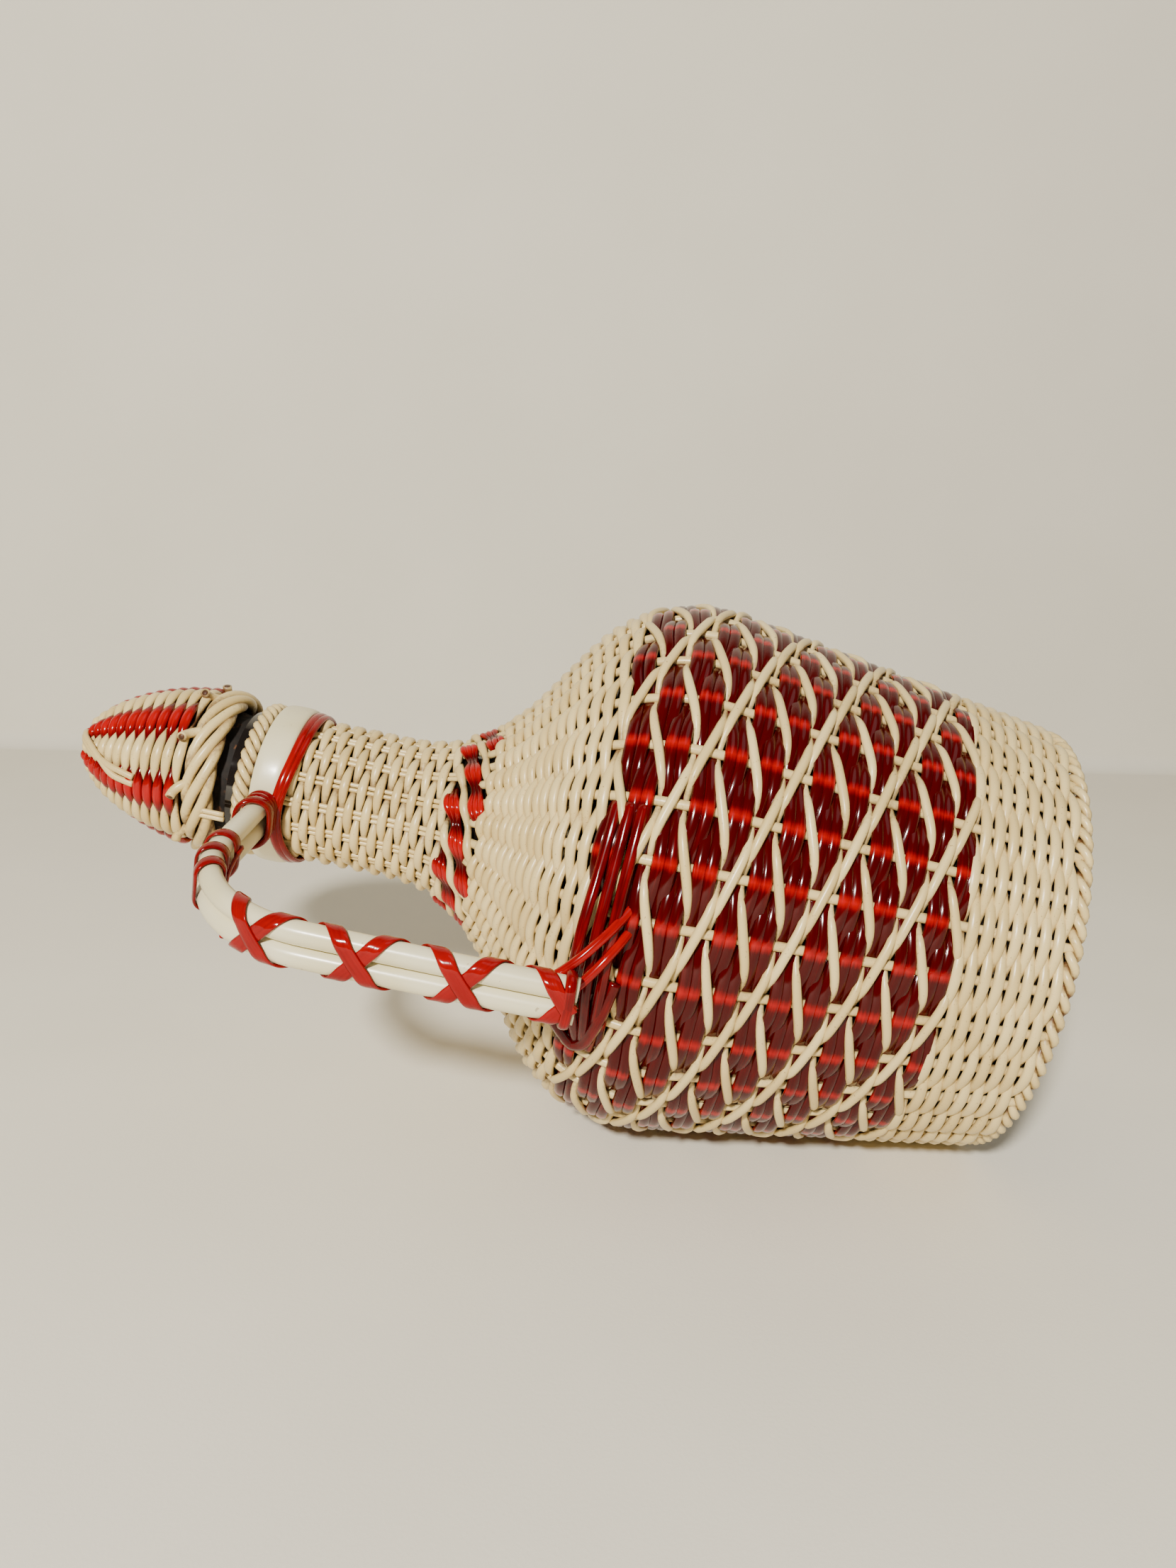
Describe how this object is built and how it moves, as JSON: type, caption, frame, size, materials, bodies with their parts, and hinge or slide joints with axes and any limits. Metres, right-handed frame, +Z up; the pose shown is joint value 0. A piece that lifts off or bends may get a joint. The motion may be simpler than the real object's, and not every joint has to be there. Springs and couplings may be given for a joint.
{
  "type": "cane-covered demijohn",
  "caption": "Round glass bottle in a woven plastic cane cover, lying on its side, with a woven conical stopper and a tape-bound side handle.",
  "frame": {"origin": "centre of the underside of the bounding box, with the bottle lying on its side on the floor", "axes": "+X towards the bottle's foot (neck and stopper towards -X, raised a little by the body's taper), +Y away from the handle, +Z up"},
  "size_m": [0.3372, 0.1975, 0.1804],
  "materials": {
    "dark_glass": "glossy, nearly black in its cover",
    "cream_cane": "satin plastic tubing with brown dirt in the grooves",
    "pale_tube": "smooth satin plastic tube",
    "red_cane": "glossy translucent red plastic",
    "cork": "plain cork"
  },
  "bodies": {
    "bottle": {"glass_bottle": "dark_glass", "body_stakes": "cream_cane", "neck_stakes": "cream_cane", "foot_rim": "cream_cane", "foot_weave": "cream_cane", "red_weave": "red_cane", "crossing_canes": "cream_cane", "shoulder_weave": "cream_cane", "collar_red": "red_cane", "collar_cream": "cream_cane", "neck_weave": "cream_cane", "neck_border": "cream_cane", "neck_strap": "pale_tube", "neck_red_band": "red_cane", "handle_tube_upper": "pale_tube", "handle_tube_lower": "pale_tube", "handle_tape_inner": "red_cane", "handle_tape_outer": "red_cane", "upper_lashing": "red_cane", "lower_lashing": "red_cane"},
    "stopper": {"cork": "cork", "stopper_core": "cork", "cap_stakes": "cream_cane", "cap_weave_cream": "cream_cane", "cap_weave_red": "red_cane", "cap_border": "cream_cane", "cap_tip_loop": "red_cane", "stopper_tie": "cream_cane"}
  },
  "joints": [
    {"name": "stopper_slide", "type": "slide", "parent": "bottle", "child": "stopper", "axis": [-0.9869, 0, 0.1615], "range_m": [0, 0.06]}
  ]
}
